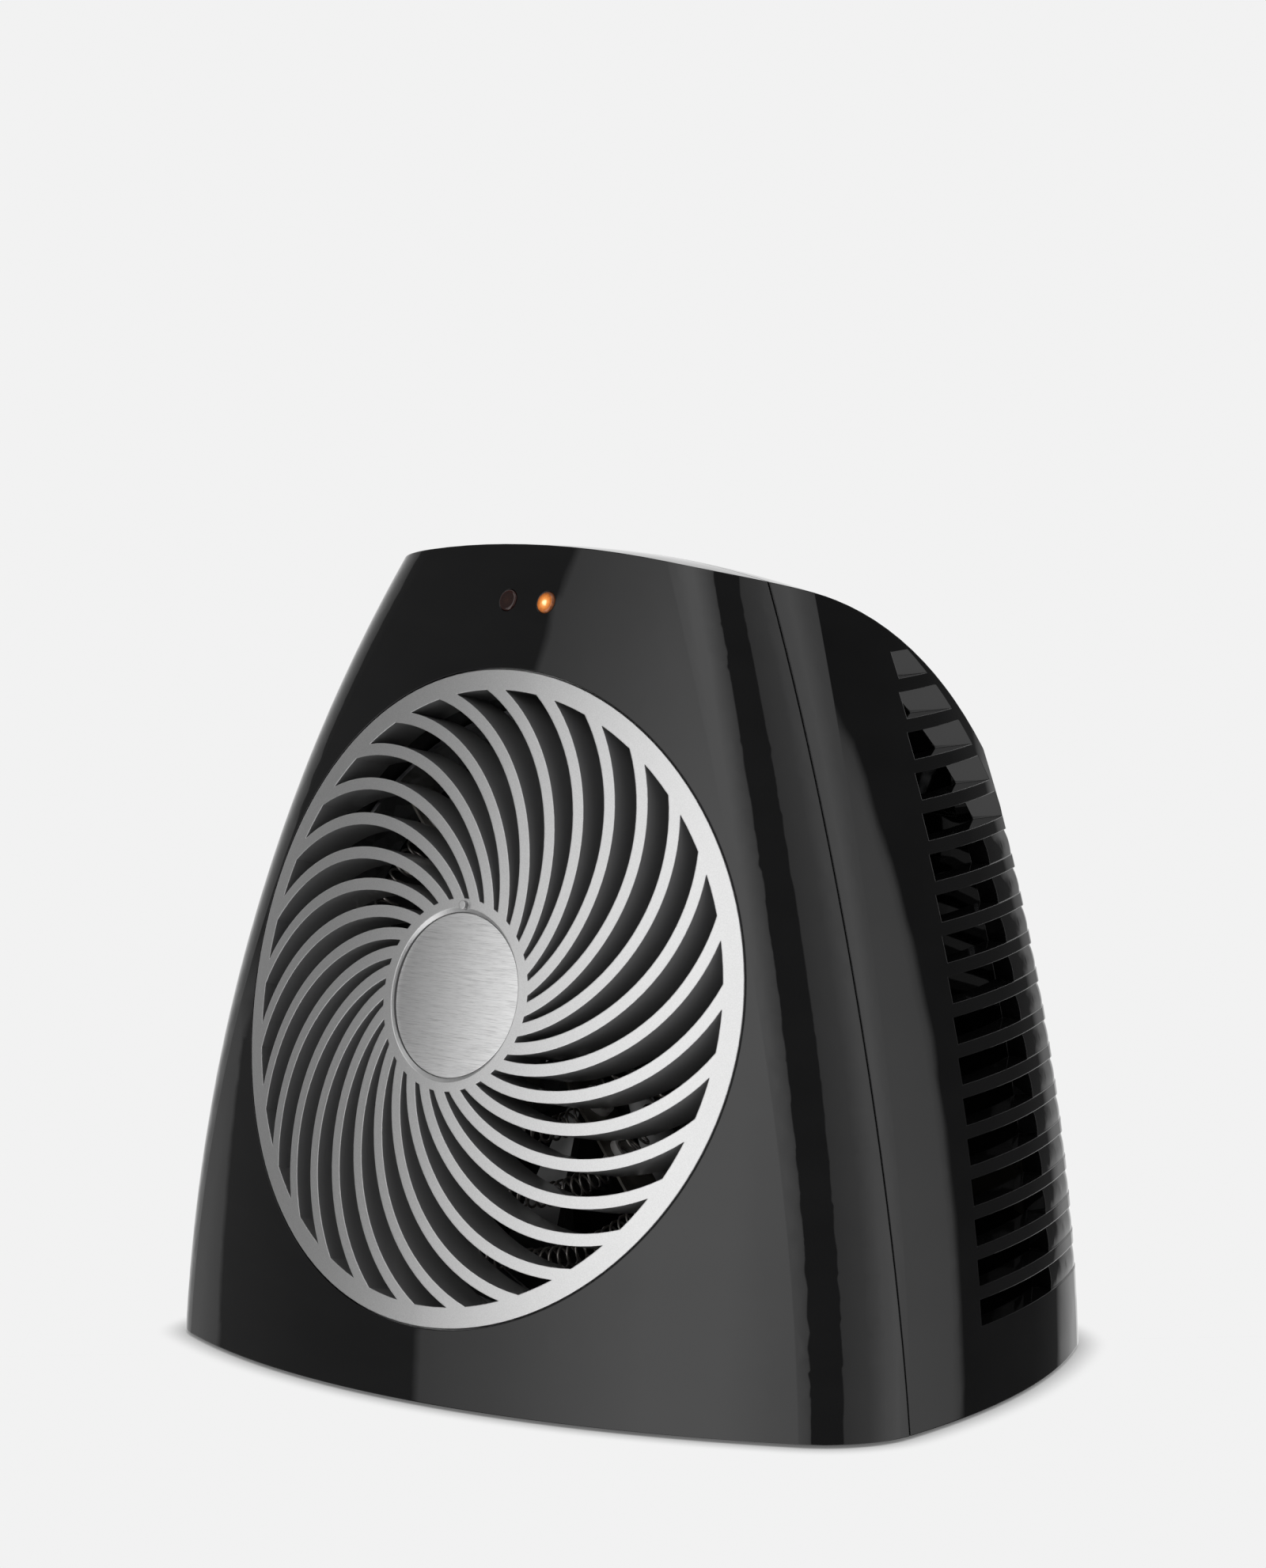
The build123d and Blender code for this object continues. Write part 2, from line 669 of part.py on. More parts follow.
def tip_switch_body():
    case = Pos(*TIP_SPOT, (BASE_TOP + 18) / 2) * Box(22, 14, 18 - BASE_TOP)
    case = fillet(case.edges().filter_by(Axis.Z), 2)
    case -= Pos(*TIP_SPOT, (TIP_CEILING + 2) / 2) * Cylinder(5.2, TIP_CEILING - 2)
    return case - Pos(*TIP_SPOT, 16) * Cylinder(2.2, 8)


def tip_switch_plunger():
    tip = -FOOT_GAP + 0.1
    rod = Pos(*TIP_SPOT, (tip + 8) / 2) * Cylinder(2.7, 8 - tip)
    rod = fillet(rod.edges().sort_by(Axis.Z)[0], 1.2)
    rod += Pos(*TIP_SPOT, 7.2) * Cylinder(4.9, 1.2)
    return rod + Pos(*TIP_SPOT, 12.5) * Cylinder(2.0, 9.5)


def tip_switch_spring():
    coil = Helix(pitch=1.5, height=6.0, radius=3.5)
    wire = sweep((Plane(coil @ 0, z_dir=coil % 0) * Circle(0.35)).face(), coil)
    return Pos(*TIP_SPOT, 8.4) * wire


def cord_gland():
    barrel = Pos(0, 0, -4) * Cylinder(GLAND_R, 11) + Pos(0, 0, 0.9) * Cylinder(GLAND_R + 2, 1.4)
    barrel = fillet(barrel.edges().sort_by(Axis.Z)[-1], 0.5)
    return gland_place() * (barrel - Cylinder(3.4, 60))


def gland_nut():
    nut = extrude(RegularPolygon(GLAND_R + 2, 6), 4) - Pos(0, 0, 2) * Cylinder(GLAND_R, 8)
    return gland_place() * Pos(0, 0, -WALL - 4.3) * nut


def terminal_block():
    block = Pos(-30, 170, BASE_TOP + 5.5) * Box(36, 16, 11)
    block = fillet(block.edges().filter_by(Axis.X).sort_by(Axis.Z)[-2:], 1.5)
    for i in (-1, 0, 1):
        block -= Pos(-30 + 11 * i, 170, BASE_TOP + 9) * Cylinder(2.2, 8)
        block -= Pos(-30 + 11 * i, 170, BASE_TOP + 4) * Rot(90, 0, 0) * Cylinder(1.8, 30)
    return block


# ---- fasteners ------------------------------------------------------------------------------
def case_screws():
    group = []
    for x, z in mirrored(CASE_POSTS):
        group.append(Pos(x, seam_y(z) + 5.5, z) * Rot(-90, 0, 0) * screw(11))
    return Compound(children=group)


def base_screws():
    group = []
    for x, y in FRONT_BASE_POSTS + REAR_BASE_POSTS:
        group.append(Pos(x, y, BASE_TOP - BASE_THICKNESS) * Rot(180, 0, 0) * screw(11, 3.0, 1.3))
    return Compound(children=group)


def air_screws(radius, angles, depth, length, head_r=3.2):
    """Screws along the air axis, heads to the rear."""
    group = []
    for angle in angles:
        spot = Rot(0, 0, angle) * Pos(radius, 0, -depth) * Rot(180, 0, 0)
        group.append(on_air_axis(spot * screw(length, head_r)))
    return Compound(children=group)


def motor_screws():
    group = []
    for angle in (30, 150, 270):
        spot = Rot(0, 0, angle) * Pos(22.0, 0, -DUCT_END)
        group.append(on_air_axis(spot * screw(6.5, 2.8)))
    return Compound(children=group)


PIECES = {
    "front_panel": front_panel,
    "rear_housing": rear_housing,
    "base_plate": base_plate,
    "rubber_feet": rubber_feet,
    "front_grille": front_grille,
    "grille_badge": grille_badge,
    "air_duct": air_duct,
    "element_rim": element_rim,
    "mica_plates": mica_plates,
    "ceramic_core": ceramic_core,
    "ceramic_bushes": ceramic_bushes,
    "cutout_bracket": cutout_bracket,
    "thermal_cutout": thermal_cutout,
    "impeller": impeller,
    "impeller_nut": impeller_nut,
    "motor_shaft": motor_shaft,
    "motor_rotor": motor_rotor,
    "motor_stator": motor_stator,
    "motor_body": motor_body,
    "motor_front_cap": lambda: motor_cap(MOTOR_FRONT, MOTOR_FRONT + 3.5),
    "motor_rear_cap": lambda: motor_cap(MOTOR_REAR - 3.5, MOTOR_REAR),
    "front_bearing": lambda: bearing(MOTOR_FRONT, MOTOR_FRONT + 5.5),
    "rear_bearing": lambda: bearing(MOTOR_REAR - 5.5, MOTOR_REAR),
    "motor_bracket": motor_bracket,
    "control_plate": control_plate,
    "thermostat_body": lambda: on_control(-KNOB_X, control_case(28, 24, 132)),
    "thermostat_shaft": lambda: on_control(-KNOB_X, knob_shaft(132)),
    "thermostat_knob": lambda: on_control(-KNOB_X, knob()),
    "heat_switch": lambda: on_control(KNOB_X, control_case(24, 24, 128)),
    "heat_switch_shaft": lambda: on_control(KNOB_X, knob_shaft(128)),
    "heat_knob": lambda: on_control(KNOB_X, knob()),
    "control_nuts": control_nuts,
    "power_lens": lambda: lamp_lens(-LAMP_X),
    "heat_lens": lambda: lamp_lens(LAMP_X),
    "indicator_board": lamp_board,
    "indicator_leds": lamp_leds,
    "tip_switch_body": tip_switch_body,
    "tip_switch_plunger": tip_switch_plunger,
    "tip_switch_spring": tip_switch_spring,
    "cord_gland": cord_gland,
    "gland_nut": gland_nut,
    "terminal_block": terminal_block,
    "case_screws": case_screws,
    "base_screws": base_screws,
    "duct_screws": lambda: air_screws(FLANGE_SCREW_R, FLANGE_ANGLES, FLANGE_DEPTH + 2, 10),
    "bracket_screws": lambda: air_screws(LUG_R, LUG_ANGLES, DUCT_END + 2.5, 4.5, 2.6),
    "motor_screws": motor_screws,
}
for name, radius in COIL_RADII.items():
    PIECES[f"heater_coil_{name}"] = lambda radius=radius: heater_coil(radius)

os.makedirs("parts", exist_ok=True)
for name, make in PIECES.items():
    piece = make()
    if isinstance(piece, list):
        piece = Compound(children=list(piece))
    piece = PLACE * piece
    export_step(piece, f"parts/{name}.step")
    print(name, len(piece.solids()), round(piece.volume))
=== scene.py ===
import json
from math import cos, radians, sin, tau

import bpy
from mathutils import Matrix, Vector


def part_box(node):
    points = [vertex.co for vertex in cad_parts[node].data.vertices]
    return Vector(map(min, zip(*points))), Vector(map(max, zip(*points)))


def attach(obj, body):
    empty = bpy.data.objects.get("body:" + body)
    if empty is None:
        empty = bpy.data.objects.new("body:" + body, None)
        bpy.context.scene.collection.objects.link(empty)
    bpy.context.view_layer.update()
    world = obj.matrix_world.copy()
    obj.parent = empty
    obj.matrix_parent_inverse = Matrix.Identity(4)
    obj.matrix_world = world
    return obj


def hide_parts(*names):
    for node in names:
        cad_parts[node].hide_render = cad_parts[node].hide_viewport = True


# A small spiral-grille space heater in glossy black plastic, lit by tall softboxes.
# Every length is in metres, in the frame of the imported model.

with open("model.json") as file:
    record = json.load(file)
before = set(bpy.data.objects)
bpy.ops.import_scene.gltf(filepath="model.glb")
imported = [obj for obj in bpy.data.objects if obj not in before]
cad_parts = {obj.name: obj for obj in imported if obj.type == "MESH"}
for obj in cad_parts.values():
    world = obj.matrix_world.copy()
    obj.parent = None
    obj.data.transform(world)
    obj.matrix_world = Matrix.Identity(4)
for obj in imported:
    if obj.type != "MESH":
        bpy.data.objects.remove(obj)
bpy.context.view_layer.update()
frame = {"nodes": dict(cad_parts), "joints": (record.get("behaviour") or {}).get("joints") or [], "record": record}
nodes = frame["nodes"]

MM = 0.001
fan_joint = next(joint for joint in frame["joints"] if joint["name"] == "fan_spin")
AIR_AXIS = Vector(fan_joint["axis"]).normalized()     # out of the grille, towards the front
AIR_RIGHT = Vector((1, 0, 0))
AIR_UP = AIR_AXIS.cross(AIR_RIGHT)


# ---- camera ---------------------------------------------------------------------------------
CAMERA_TURN = radians(41.579)              # round from straight in front, towards the right
CAMERA_TILT = radians(5.8903)              # looking down
CAMERA_ROLL = radians(-0.23589)
CAMERA_PLACE = Vector((1.07624, -1.22850, 0.33115))
SENSOR_HEIGHT = 36
FOCAL_LENGTH = 132.26


def add_camera():
    """A long lens to the front right of the heater and a little above it."""
    out = cos(CAMERA_TILT)
    back = Vector((sin(CAMERA_TURN) * out, -cos(CAMERA_TURN) * out, sin(CAMERA_TILT)))
    level = Vector((cos(CAMERA_TURN), sin(CAMERA_TURN), 0))
    upright = back.cross(level)
    right = level * cos(CAMERA_ROLL) + upright * sin(CAMERA_ROLL)
    up = upright * cos(CAMERA_ROLL) - level * sin(CAMERA_ROLL)
    data = bpy.data.cameras.new("camera")
    data.sensor_fit = "VERTICAL"
    data.sensor_height = SENSOR_HEIGHT
    data.lens = FOCAL_LENGTH
    camera = bpy.data.objects.new("camera", data)
    pose = Matrix((right, up, back)).transposed().to_4x4()
    pose.translation = CAMERA_PLACE
    camera.matrix_world = pose
    bpy.context.scene.collection.objects.link(camera)
    bpy.context.scene.camera = camera


# ---- node helpers ---------------------------------------------------------------------------
def link(tree, source, target):
    tree.links.new(source, target)


def math_node(tree, operation, first, second=None, third=None):
    """One maths step; each operand is a socket or a number."""
    node = tree.nodes.new("ShaderNodeMath")
    node.operation = operation
    for index, operand in enumerate((first, second, third)):
        if isinstance(operand, (int, float)):
            node.inputs[index].default_value = operand
        elif operand is not None:
            link(tree, operand, node.inputs[index])
    return node.outputs[0]


def place_socket(tree, stretch=(1, 1, 1)):
    """The point on the object in metres, divided by stretch."""
    coordinates = tree.nodes.new("ShaderNodeTexCoord")
    mapping = tree.nodes.new("ShaderNodeMapping")
    mapping.inputs["Scale"].default_value = [1 / part for part in stretch]
    link(tree, coordinates.outputs["Object"], mapping.inputs["Vector"])
    return mapping.outputs[0]


def noise(tree, size, detail=2.0, stretch=(1, 1, 1)):
    """Soft random values with features of that size."""
    texture = tree.nodes.new("ShaderNodeTexNoise")
    texture.inputs["Scale"].default_value = 1 / size
    texture.inputs["Detail"].default_value = detail
    link(tree, place_socket(tree, stretch), texture.inputs["Vector"])
    return texture.outputs["Fac"]


def ramp(tree, value, stops):
    """A colour for each value; stops are (position, colour)."""
    node = tree.nodes.new("ShaderNodeValToRGB")
    elements = node.color_ramp.elements
    for position, _ in stops[2:]:
        elements.new(position)
    for element, (position, colour) in zip(elements, stops):
        element.position = position
        element.color = (*colour, 1)
    link(tree, value, node.inputs["Fac"])
    return node.outputs["Color"]


def between(tree, value, low, high):
    """A 0 to 1 value spread to a range."""
    node = tree.nodes.new("ShaderNodeMapRange")
    node.inputs["To Min"].default_value = low
    node.inputs["To Max"].default_value = high
    link(tree, value, node.inputs["Value"])
    return node.outputs["Result"]


def grey(value, warmth=0.0):
    return (value * (1 + warmth), value, value * (1 - warmth))


def material(name, metallic=0.0):
    """A new material, its node tree and its shader."""
    made = bpy.data.materials.new(name)
    made.use_nodes = True
    shader = made.node_tree.nodes["Principled BSDF"]
    shader.inputs["Metallic"].default_value = metallic
    return made, made.node_tree, shader


def rounded_normal(tree, radius):
    """The surface normal with the edges rounded to that radius."""
    bevel = tree.nodes.new("ShaderNodeBevel")
    bevel.samples = 6
    bevel.inputs["Radius"].default_value = radius
    return bevel.outputs["Normal"]


def finish_surface(tree, shader, height, depth, edge=0.0):
    """Relief of that depth in metres, over edges rounded to that radius."""
    bump = tree.nodes.new("ShaderNodeBump")
    bump.inputs["Distance"].default_value = depth
    link(tree, height, bump.inputs["Height"])
    if edge:
        link(tree, rounded_normal(tree, edge), bump.inputs["Normal"])
    link(tree, bump.outputs["Normal"], shader.inputs["Normal"])


def surface(name, colour, rough, metallic=0.0, size=1 * MM, depth=0.01 * MM, spread=0.12, edge=0.0):
    """A plain moulded, cast or rolled surface: mottled colour, uneven gloss and fine relief."""
    made, tree, shader = material(name, metallic)
    coarse = noise(tree, 12 * size, 4)
    fine = noise(tree, size, 3)
    dark = [part * (1 - spread) for part in colour]
    light = [part * (1 + spread) for part in colour]
    link(tree, ramp(tree, coarse, [(0.3, dark), (0.7, light)]), shader.inputs["Base Color"])
    uneven = between(tree, coarse, rough * 0.85, rough * 1.15)
    link(tree, uneven, shader.inputs["Roughness"])
    finish_surface(tree, shader, fine, depth, edge)
    return made


# ---- materials ------------------------------------------------------------------------------
CASE_EDGE = 0.45 * MM                      # radii of the rounded edges
RIB_EDGE = 0.4 * MM
BADGE_EDGE = 0.2 * MM
LAMP_REACH = 3.2 * MM                      # a lens's colours spread over this, from its middle
SHEET = 0.7 * MM                           # thickness of one motor lamination


def black_gloss():
    """High-gloss black moulding with the faintest flow marks."""
    made, tree, shader = material("black_gloss")
    flow = noise(tree, 30 * MM, 2, (1, 1, 0.4))
    colours = [(0.3, (0.0062, 0.0062, 0.0064)), (0.7, (0.0078, 0.0078, 0.0080))]
    link(tree, ramp(tree, flow, colours), shader.inputs["Base Color"])
    link(tree, between(tree, flow, 0.014, 0.024), shader.inputs["Roughness"])
    finish_surface(tree, shader, noise(tree, 9 * MM, 1), 0.0004 * MM, CASE_EDGE)
    return made


def facing_front(tree):
    """1 where the surface faces out along the air axis, 0 on the walls between the ribs."""
    dot = tree.nodes.new("ShaderNodeVectorMath")
    dot.operation = "DOT_PRODUCT"
    dot.inputs[1].default_value = AIR_AXIS
    link(tree, rounded_normal(tree, RIB_EDGE), dot.inputs[0])
    step = tree.nodes.new("ShaderNodeMapRange")
    step.interpolation_type = "SMOOTHSTEP"
    step.inputs["From Min"].default_value = 0.40
    step.inputs["From Max"].default_value = 0.58
    link(tree, dot.outputs["Value"], step.inputs["Value"])
    return step.outputs["Result"]


def silver_paint():
    """Silver flake paint under a thin clear coat; the deep walls behind it stay bare grey."""
    made, tree, shader = material("silver_paint")
    front = facing_front(tree)
    flake = noise(tree, 0.35 * MM, 3)
    silver = ramp(tree, flake, [(0.3, grey(0.57)), (0.7, grey(0.66))])
    colour = tree.nodes.new("ShaderNodeMix")
    colour.data_type = "RGBA"
    colour.inputs["A"].default_value = (0.17, 0.17, 0.172, 1)
    link(tree, front, colour.inputs["Factor"])
    link(tree, silver, colour.inputs["B"])
    link(tree, colour.outputs["Result"], shader.inputs["Base Color"])
    link(tree, math_node(tree, "MULTIPLY", front, 0.85), shader.inputs["Metallic"])
    rough = between(tree, flake, 0.36, 0.44)
    bare = between(tree, front, 0.38, 0.0)
    gloss = math_node(tree, "MULTIPLY", rough, front)
    link(tree, math_node(tree, "ADD", gloss, bare), shader.inputs["Roughness"])
    shader.inputs["Coat Weight"].default_value = 0.6
    shader.inputs["Coat Roughness"].default_value = 0.04
    finish_surface(tree, shader, flake, 0.004 * MM, RIB_EDGE)
    return made


def brushed_badge():
    """Aluminium brushed from side to side."""
    made, tree, shader = material("brushed_badge", 1.0)
    strokes = noise(tree, 1, 6, (9 * MM, 9 * MM, 0.28 * MM))
    fine = noise(tree, 1, 4, (3 * MM, 3 * MM, 0.12 * MM))
    both = math_node(tree, "MULTIPLY_ADD", fine, 0.5, math_node(tree, "MULTIPLY", strokes, 0.5))
    colours = [(0.32, grey(0.55)), (0.5, grey(0.86)), (0.66, grey(0.97))]
    link(tree, ramp(tree, both, colours), shader.inputs["Base Color"])
    link(tree, between(tree, both, 0.42, 0.26), shader.inputs["Roughness"])
    shader.inputs["Coat Weight"].default_value = 0.5
    shader.inputs["Coat Roughness"].default_value = 0.05
    finish_surface(tree, shader, both, 0.02 * MM, BADGE_EDGE)
    return made


def lamp_glass(name, colours, glow, centre):
    """A tinted lamp lens, coloured from its middle outwards; glow is how brightly it is lit."""
    made, tree, shader = material(name)
    spot = tree.nodes.new("ShaderNodeTexCoord")
    away = tree.nodes.new("ShaderNodeVectorMath")
    away.operation = "DISTANCE"
    away.inputs[1].default_value = centre
    link(tree, spot.outputs["Object"], away.inputs[0])
    reach = math_node(tree, "DIVIDE", away.outputs["Value"], LAMP_REACH)
    speckle = math_node(tree, "MULTIPLY_ADD", noise(tree, 0.8 * MM, 3), 0.3, -0.15)
    value = math_node(tree, "ADD", reach, speckle)
    colour = ramp(tree, value, list(zip((0.12, 0.3, 0.65, 0.92), colours)))
    link(tree, colour, shader.inputs["Base Color"])
    link(tree, colour, shader.inputs["Emission Color"])
    shader.inputs["Emission Strength"].default_value = glow
    shader.inputs["Roughness"].default_value = 0.12
    finish_surface(tree, shader, noise(tree, 0.9 * MM, 2), 0.02 * MM)
    return made


def lamp_centre(node):
    """The middle of a lens's face, which leans back a little."""
    low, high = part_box(node)
    middle, half = (low + high) / 2, (high - low) / 2
    return middle + Vector((0, -0.76 * half.y, 0.27 * half.z))


def mica():
    """Mica sheet with thin layers and darker inclusions, darkened as painted shade for its place deep inside the
    casing.
    """
    made, tree, shader = material("mica")
    swirl = noise(tree, 9 * MM, 6)
    # painted shade: these dark grey-brown colours stand in for the shade deep inside the casing
    colours = [(0.35, (0.07, 0.06, 0.05)), (0.5, (0.13, 0.12, 0.10)), (0.7, (0.20, 0.19, 0.17))]
    link(tree, ramp(tree, swirl, colours), shader.inputs["Base Color"])
    link(tree, between(tree, swirl, 0.25, 0.5), shader.inputs["Roughness"])
    finish_surface(tree, shader, swirl, 0.03 * MM)
    return made


def lamination():
    """A stack of thin steel sheets, seen as fine lines across the air axis."""
    made, tree, shader = material("lamination", 0.9)
    coordinates = tree.nodes.new("ShaderNodeTexCoord")
    depth = tree.nodes.new("ShaderNodeVectorMath")
    depth.operation = "DOT_PRODUCT"
    depth.inputs[1].default_value = AIR_AXIS * (tau / SHEET)
    link(tree, coordinates.outputs["Object"], depth.inputs[0])
    lines = math_node(tree, "MULTIPLY_ADD", math_node(tree, "SINE", depth.outputs["Value"]), 0.5, 0.5)
    colours = [(0.0, grey(0.10)), (0.5, grey(0.34)), (1.0, grey(0.42))]
    link(tree, ramp(tree, lines, colours), shader.inputs["Base Color"])
    link(tree, between(tree, noise(tree, 3 * MM), 0.35, 0.5), shader.inputs["Roughness"])
    finish_surface(tree, shader, lines, 0.05 * MM)
    return made


def galvanised():
    """Zinc-coated steel with its crystal spangle."""
    made, tree, shader = material("galvanised", 0.9)
    cells = tree.nodes.new("ShaderNodeTexVoronoi")
    cells.inputs["Scale"].default_value = 1 / (5 * MM)
    link(tree, place_socket(tree), cells.inputs["Vector"])
    spangle = tree.nodes.new("ShaderNodeSeparateColor")
    link(tree, cells.outputs["Color"], spangle.inputs[0])
    tone = spangle.outputs[0]
    colours = [(0, grey(0.42, -0.02)), (1, grey(0.62, -0.02))]
    link(tree, ramp(tree, tone, colours), shader.inputs["Base Color"])
    link(tree, between(tree, tone, 0.28, 0.45), shader.inputs["Roughness"])
    finish_surface(tree, shader, noise(tree, 1 * MM), 0.01 * MM)
    return made


def coil_wire():
    """Resistance wire, oxidised unevenly along its length."""
    return surface("coil_wire", grey(0.34, 0.06), 0.38, 0.85, 2 * MM, 0.01 * MM, 0.35)


def board_green():
    """Circuit board with its copper tracks under green lacquer."""
    made, tree, shader = material("board_green")
    brick = tree.nodes.new("ShaderNodeTexBrick")
    brick.inputs["Scale"].default_value = 1 / (6 * MM)
    brick.inputs["Color1"].default_value = (0.01, 0.12, 0.04, 1)
    brick.inputs["Color2"].default_value = (0.012, 0.15, 0.05, 1)
    brick.inputs["Mortar"].default_value = (0.03, 0.26, 0.09, 1)
    link(tree, place_socket(tree), brick.inputs["Vector"])
    link(tree, brick.outputs["Color"], shader.inputs["Base Color"])
    link(tree, between(tree, noise(tree, 2 * MM), 0.25, 0.4), shader.inputs["Roughness"])
    finish_surface(tree, shader, brick.outputs["Fac"], 0.02 * MM)
    return made


def all_materials():
    """Every material slot of the record, by name."""
    made = {
        "black_gloss": black_gloss(),
        "silver_paint": silver_paint(),
        "brushed_badge": brushed_badge(),
        "mica": mica(),
        "lamination": lamination(),
        "galvanised": galvanised(),
        "coil_wire": coil_wire(),
        "board_green": board_green(),
    }
    dark, amber = lamp_centre("power_lens"), lamp_centre("heat_lens")
    unlit = [(0.030, 0.014, 0.011), (0.024, 0.012, 0.010), (0.020, 0.010, 0.009), (0.030, 0.008, 0.006)]
    lit = [(1.0, 0.72, 0.38), (0.62, 0.24, 0.06), (0.34, 0.10, 0.018), (0.07, 0.022, 0.008)]
    made["lamp_dark"] = lamp_glass("lamp_dark", unlit, 0.02, dark)
    made["lamp_amber"] = lamp_glass("lamp_amber", lit, 0.9, amber)
    plain = {
        "black_matte": (grey(0.012), 0.45, 0.0, 0.6 * MM, 0.02 * MM),
        "rubber_black": (grey(0.015), 0.75, 0.0, 0.5 * MM, 0.03 * MM),
        "ceramic_white": (grey(0.72, 0.03), 0.4, 0.0, 0.8 * MM, 0.02 * MM),
        "fan_black": (grey(0.010), 0.32, 0.0, 1 * MM, 0.01 * MM),
        "motor_steel": (grey(0.45), 0.32, 0.95, 1 * MM, 0.005 * MM),
        "shaft_steel": (grey(0.60), 0.2, 1.0, 0.5 * MM, 0.002 * MM),
        "brass_nut": ((0.62, 0.45, 0.16), 0.28, 1.0, 0.6 * MM, 0.005 * MM),
        "knob_black": (grey(0.010), 0.3, 0.0, 0.5 * MM, 0.01 * MM),
        "led_clear": (grey(0.75), 0.1, 0.0, 0.5 * MM, 0.002 * MM),
        "screw_steel": (grey(0.40), 0.3, 1.0, 0.4 * MM, 0.006 * MM),
        "terminal_cream": ((0.62, 0.56, 0.44), 0.42, 0.0, 0.8 * MM, 0.01 * MM),
    }
    for name, (colour, rough, metallic, size, depth) in plain.items():
        made[name] = surface(name, colour, rough, metallic, size, depth)
    return made


def dress_nodes(materials):
    """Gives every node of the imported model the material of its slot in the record."""
    for subpart in frame["record"]["subparts"]:
        node = nodes[subpart["node"]]
        node.data.materials.clear()
        node.data.materials.append(materials[subpart["material_slot"]])


# ---- heating coils --------------------------------------------------------------------------
COIL_TUBE = 3.6 * MM
COIL_WIRE = 0.4 * MM
COIL_PITCH = 3.3 * MM
POINTS_PER_TURN = 12


def heating_coil(node, materials):
    """A resistance wire wound into a long spring and laid round in a ring."""
    low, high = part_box(node)
    centre = (low + high) / 2
    ring = (high.x - low.x) / 2 - COIL_TUBE
    turns = round(tau * ring / COIL_PITCH)
    winding = COIL_TUBE - COIL_WIRE
    curve = bpy.data.curves.new(node + "_winding", "CURVE")
    curve.dimensions = "3D"
    curve.bevel_depth = COIL_WIRE
    curve.bevel_resolution = 2
    spline = curve.splines.new("POLY")
    count = turns * POINTS_PER_TURN
    spline.points.add(count - 1)
    for index, point in enumerate(spline.points):
        around = tau * index / count
        wound = around * turns
        reach = ring + winding * cos(wound)
        spot = AIR_RIGHT * cos(around) * reach + AIR_UP * sin(around) * reach
        point.co = (*(centre + spot + AIR_AXIS * winding * sin(wound)), 1)
    spline.use_cyclic_u = True
    wire = bpy.data.objects.new(node + "_winding", curve)
    bpy.context.scene.collection.objects.link(wire)
    curve.materials.append(materials["coil_wire"])
    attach(wire, "casing")
    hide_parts(node)


# ---- studio ---------------------------------------------------------------------------------
BACKDROP = 0.887
# Brightness of the room all round the heater: azimuth in degrees from straight in front, towards
# the right, and radiance there.
ROOM = [
    (-180, 0.03), (-170, 0.05), (-168, 0.30), (-160, 0.60), (-150, 0.95), (-130, 0.95),
    (-100, 0.45), (-86.5, 0.33), (-86, 0.11), (-43, 0.12), (-42.5, 0.66), (-30, 1.00),
    (-20, 1.37), (-8, 1.72), (2, 1.75), (12, 1.35), (25.5, 0.80), (26, 0.09), (61, 0.09),
    (61.5, 0.55), (90, 0.72), (112, 1.15), (128, 1.20), (146, 0.70), (158.8, 0.45),
    (159.3, 0.03), (180, 0.03),
]
ROOM_GAIN = 2.0                            # keeps the colours of the room's ramp below 1
FLOOR_SIZE = 30
SHADOW_REACH = 9 * MM
CEILING = 0.25                             # the room overhead, before the gain
CEILING_FROM, CEILING_TO = radians(62), radians(80)   # heights between which it takes over


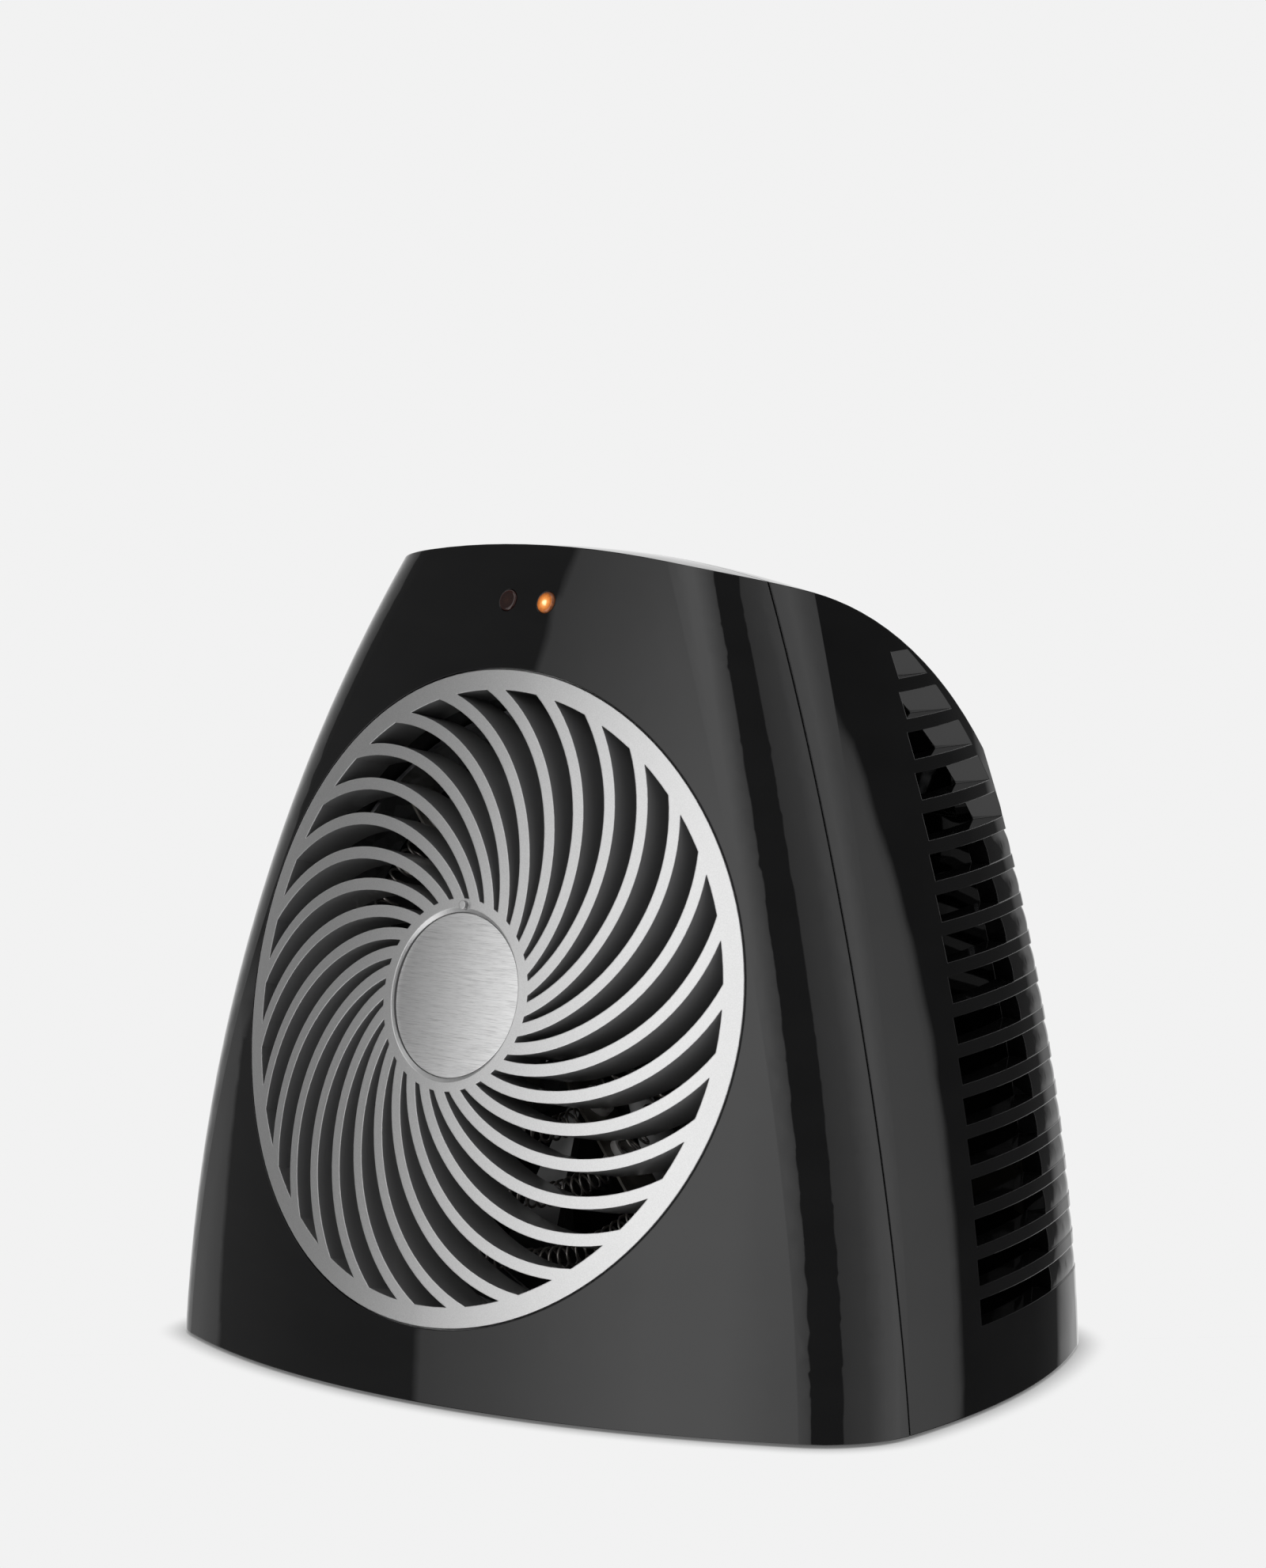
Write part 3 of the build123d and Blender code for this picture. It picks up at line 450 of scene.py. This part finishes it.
def studio():
    """Tall softboxes round the heater; the camera itself sees an even pale backdrop."""
    world = bpy.data.worlds.new("studio")
    bpy.context.scene.world = world
    world.use_nodes = True
    tree = world.node_tree
    background = tree.nodes["Background"]
    direction = tree.nodes.new("ShaderNodeTexCoord").outputs["Generated"]
    parts = tree.nodes.new("ShaderNodeSeparateXYZ")
    link(tree, direction, parts.inputs[0])
    forward = math_node(tree, "MULTIPLY", parts.outputs["Y"], -1.0)
    azimuth = math_node(tree, "ARCTAN2", parts.outputs["X"], forward)
    turn = math_node(tree, "MULTIPLY_ADD", azimuth, 1 / tau, 0.5)
    stops = [((angle + 180) / 360, grey(level / ROOM_GAIN)) for angle, level in ROOM]
    walls = ramp(tree, turn, stops)
    top = tree.nodes.new("ShaderNodeMapRange")
    top.interpolation_type = "SMOOTHSTEP"
    top.inputs["From Min"].default_value = sin(CEILING_FROM)
    top.inputs["From Max"].default_value = sin(CEILING_TO)
    link(tree, parts.outputs["Z"], top.inputs["Value"])
    room = tree.nodes.new("ShaderNodeMix")
    room.data_type = "RGBA"
    room.inputs["B"].default_value = (CEILING, CEILING, CEILING, 1)
    link(tree, top.outputs["Result"], room.inputs["Factor"])
    link(tree, walls, room.inputs["A"])
    seen = tree.nodes.new("ShaderNodeMix")
    seen.data_type = "RGBA"
    level = BACKDROP / ROOM_GAIN
    seen.inputs["B"].default_value = (level, level, level, 1)
    link(tree, tree.nodes.new("ShaderNodeLightPath").outputs["Is Camera Ray"], seen.inputs["Factor"])
    link(tree, room.outputs["Result"], seen.inputs["A"])
    link(tree, seen.outputs["Result"], background.inputs["Color"])
    background.inputs["Strength"].default_value = ROOM_GAIN


def floor():
    """A pale floor as bright as the backdrop, with a soft painted shadow where the heater is close."""
    size = FLOOR_SIZE
    mesh = bpy.data.meshes.new("floor")
    corners = [(-size, -size, 0), (size, -size, 0), (size, size, 0), (-size, size, 0)]
    mesh.from_pydata(corners, [], [(0, 1, 2, 3)])
    ground = bpy.data.objects.new("floor", mesh)
    bpy.context.scene.collection.objects.link(ground)
    made, tree, shader = material("floor")
    # painted shadow: the floor's glow darkens where ambient occlusion finds the heater close
    closed = tree.nodes.new("ShaderNodeAmbientOcclusion")
    closed.samples = 16
    closed.inputs["Distance"].default_value = SHADOW_REACH
    stops = [(0.0, grey(0.10)), (0.5, grey(0.45)), (0.97, grey(BACKDROP))]
    painted_shadow_colour = ramp(tree, closed.outputs["AO"], stops)
    link(tree, painted_shadow_colour, shader.inputs["Emission Color"])
    shader.inputs["Emission Strength"].default_value = 1.0
    shader.inputs["Base Color"].default_value = (0, 0, 0, 1)
    shader.inputs["Specular IOR Level"].default_value = 0.0
    link(tree, between(tree, noise(tree, 60 * MM), 0.88, 0.9), shader.inputs["Roughness"])
    mesh.materials.append(made)
    ground.visible_glossy = False


add_camera()
studio()
floor()
paints = all_materials()
dress_nodes(paints)
for coil in ("heater_coil_outer", "heater_coil_middle", "heater_coil_inner"):
    heating_coil(coil, paints)
bpy.context.scene.view_settings.view_transform = "Standard"
